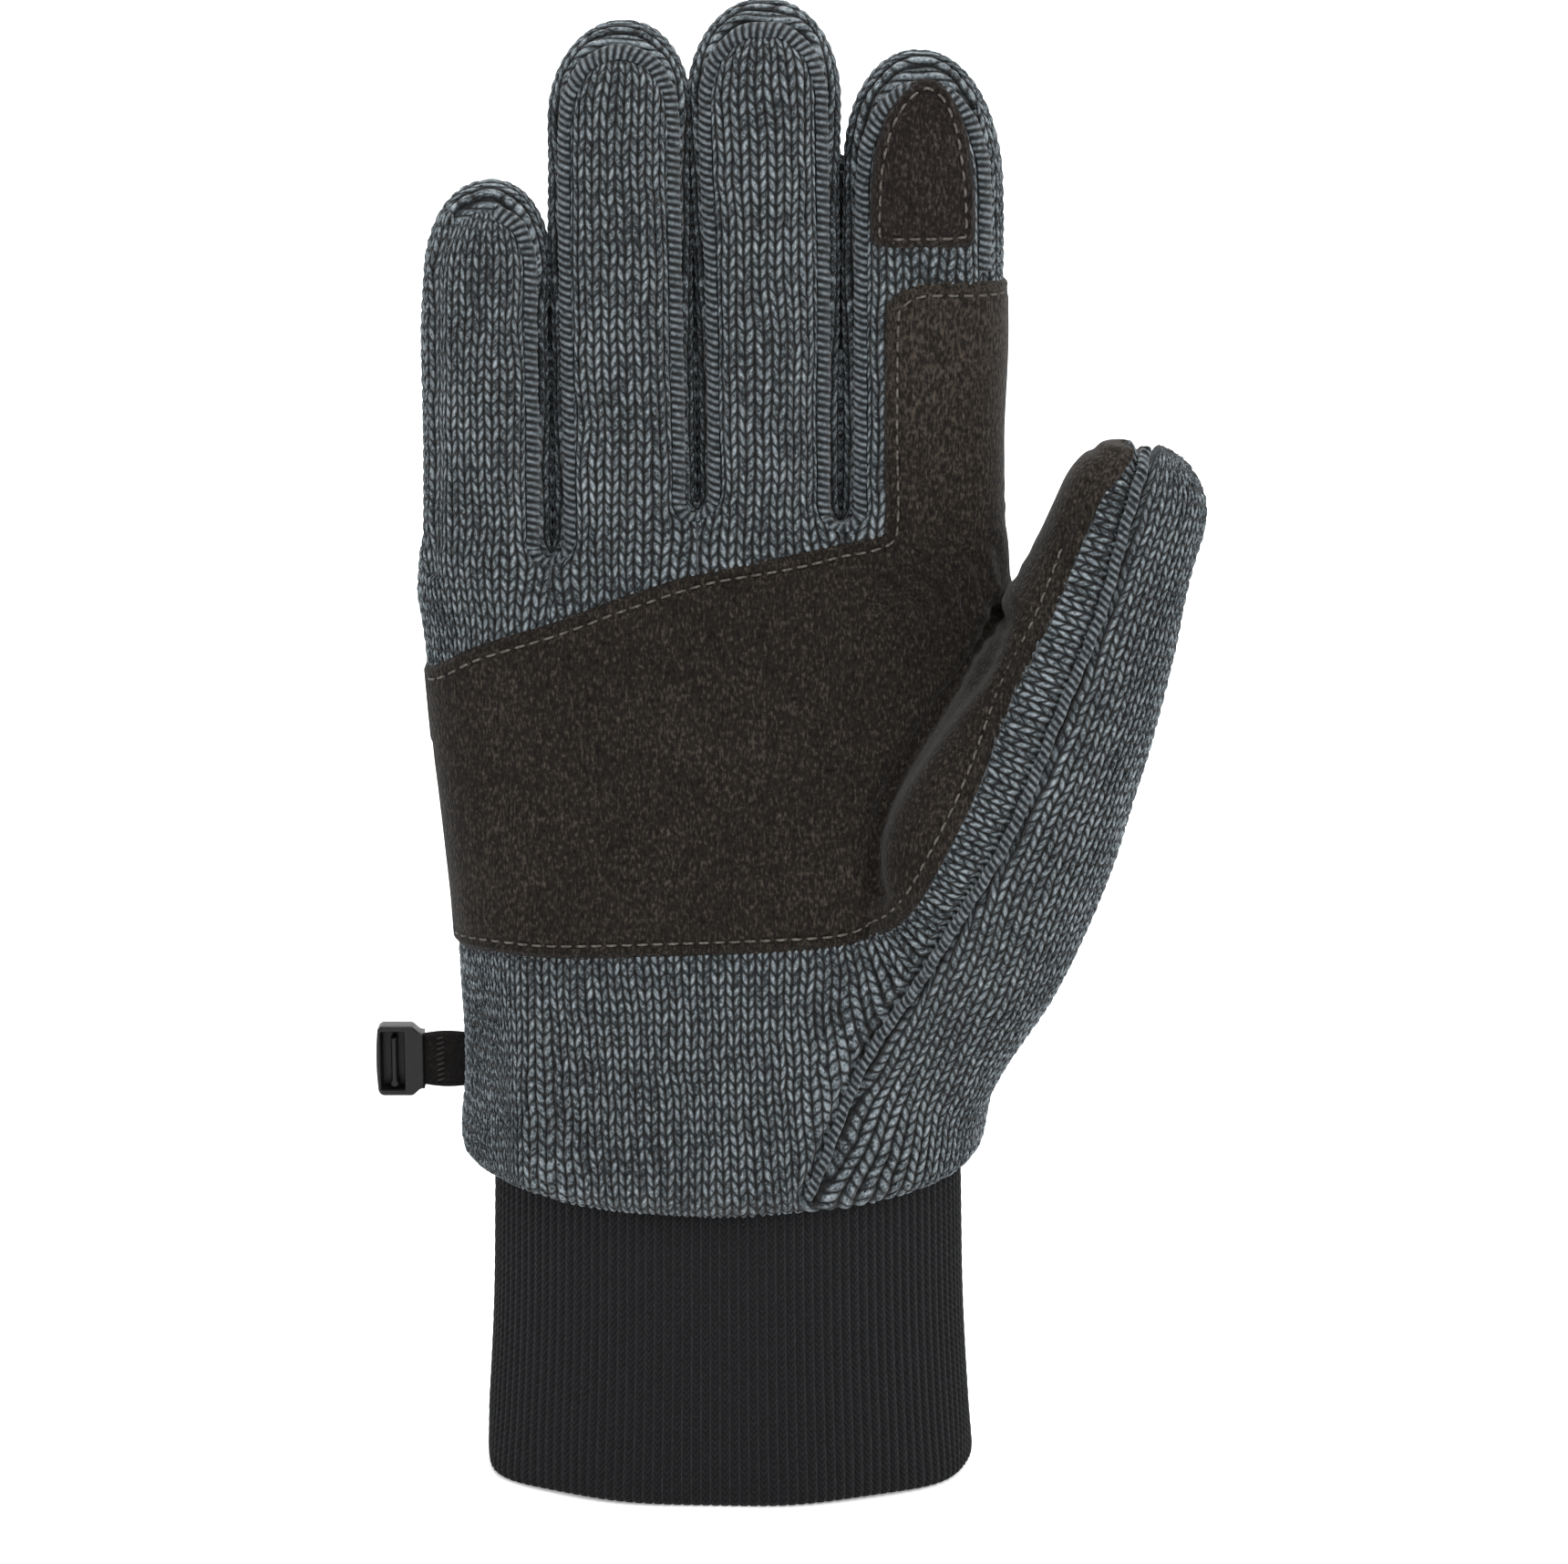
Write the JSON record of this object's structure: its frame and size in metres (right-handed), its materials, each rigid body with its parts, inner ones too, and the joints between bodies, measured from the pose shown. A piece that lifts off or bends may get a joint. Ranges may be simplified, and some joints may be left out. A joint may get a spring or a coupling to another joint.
{
  "type": "knitted touchscreen glove",
  "caption": "Right-hand heathered grey sweater-knit glove with dark suede palm, thumb facing and index touch patch, black rib cuff, side webbing strap and clip.",
  "frame": {"origin": "middle of the cuff's rim, in the plane of the rim", "axes": "+Z from the cuff to the fingertips, +X to the thumb side, -Y out of the palm"},
  "size_m": [0.1557, 0.0589, 0.283],
  "materials": {
    "sweater_knit": "heathered sweater knit",
    "rib_knit": "fine rib knit",
    "synthetic_suede": "brushed synthetic suede",
    "fleece_lining": "brushed fleece",
    "overlock_seam": "overlocked thread",
    "sewing_thread": "spun polyester thread",
    "webbing": "woven polyester",
    "clip_plastic": "moulded acetal, gloss",
    "label_satin": "satin ribbon, no text"
  },
  "bodies": {
    "hand": {"palm_knit_panel": "sweater_knit", "back_knit_panel": "sweater_knit", "palm_suede_overlay": "synthetic_suede", "palm_overlay_stitching": "sewing_thread", "hand_liner": "fleece_lining", "rib_cuff": "rib_knit", "cuff_closing_seam": "rib_knit", "cuff_join_seam": "overlock_seam", "care_label": "label_satin", "thumb_seam_ridge": "overlock_seam", "strap_root": "webbing"},
    "little": {"little_front_panel": "sweater_knit", "little_back_panel": "sweater_knit", "little_liner": "fleece_lining", "little_edge_seam": "overlock_seam", "little_right_fourchette": "sweater_knit"},
    "ring": {"ring_front_panel": "sweater_knit", "ring_back_panel": "sweater_knit", "ring_liner": "fleece_lining", "ring_edge_seam": "overlock_seam", "ring_right_fourchette": "sweater_knit", "ring_left_fourchette": "sweater_knit"},
    "middle": {"middle_front_panel": "sweater_knit", "middle_back_panel": "sweater_knit", "middle_liner": "fleece_lining", "middle_edge_seam": "overlock_seam", "middle_right_fourchette": "sweater_knit", "middle_left_fourchette": "sweater_knit"},
    "index": {"index_front_panel": "sweater_knit", "index_back_panel": "sweater_knit", "index_liner": "fleece_lining", "index_edge_seam": "overlock_seam", "index_left_fourchette": "sweater_knit", "index_touch_patch": "synthetic_suede", "touch_patch_stitching": "sewing_thread", "index_suede_overlay": "synthetic_suede", "index_overlay_stitching": "sewing_thread"},
    "thumb": {"thumb_front_panel": "sweater_knit", "thumb_back_panel": "sweater_knit", "thumb_liner": "fleece_lining", "thumb_suede_facing": "synthetic_suede", "thumb_facing_stitching": "sewing_thread", "thumb_tip_seam_ridge": "overlock_seam"},
    "strap": {"webbing_strap": "webbing", "strap_bartack": "sewing_thread", "clip_body": "clip_plastic"},
    "gate": {"clip_gate": "clip_plastic"}
  },
  "joints": [
    {"name": "little_flexion", "type": "hinge", "parent": "hand", "child": "little", "pos_m": [-0.04445, -0.0141, 0.18115], "axis": [1, 0, 0], "range_deg": [0, 85], "stiffness_Nm_per_rad": 0.03},
    {"name": "ring_flexion", "type": "hinge", "parent": "hand", "child": "ring", "pos_m": [-0.01845, -0.0141, 0.18615], "axis": [1, 0, 0], "range_deg": [0, 85], "stiffness_Nm_per_rad": 0.03},
    {"name": "middle_flexion", "type": "hinge", "parent": "hand", "child": "middle", "pos_m": [0.0083, -0.0141, 0.19015], "axis": [1, 0, 0], "range_deg": [0, 85], "stiffness_Nm_per_rad": 0.03},
    {"name": "index_flexion", "type": "hinge", "parent": "hand", "child": "index", "pos_m": [0.0363, -0.0141, 0.18715], "axis": [1, 0, 0], "range_deg": [0, 85], "stiffness_Nm_per_rad": 0.03},
    {"name": "thumb_flexion", "type": "hinge", "parent": "hand", "child": "thumb", "pos_m": [0.06539, -0.0244, 0.16455], "axis": [0.9354, 0, -0.3535], "range_deg": [0, 55], "stiffness_Nm_per_rad": 0.03},
    {"name": "strap_fold", "type": "hinge", "parent": "hand", "child": "strap", "pos_m": [-0.0534, 0, 0.0818], "axis": [0, 0, 1], "range_deg": [-60, 60], "stiffness_Nm_per_rad": 0.001},
    {"name": "gate_press", "type": "hinge", "parent": "strap", "child": "gate", "pos_m": [-0.06405, 0, 0.07705], "axis": [0, 1, 0], "range_deg": [0, 10], "stiffness_Nm_per_rad": 0.02}
  ]
}
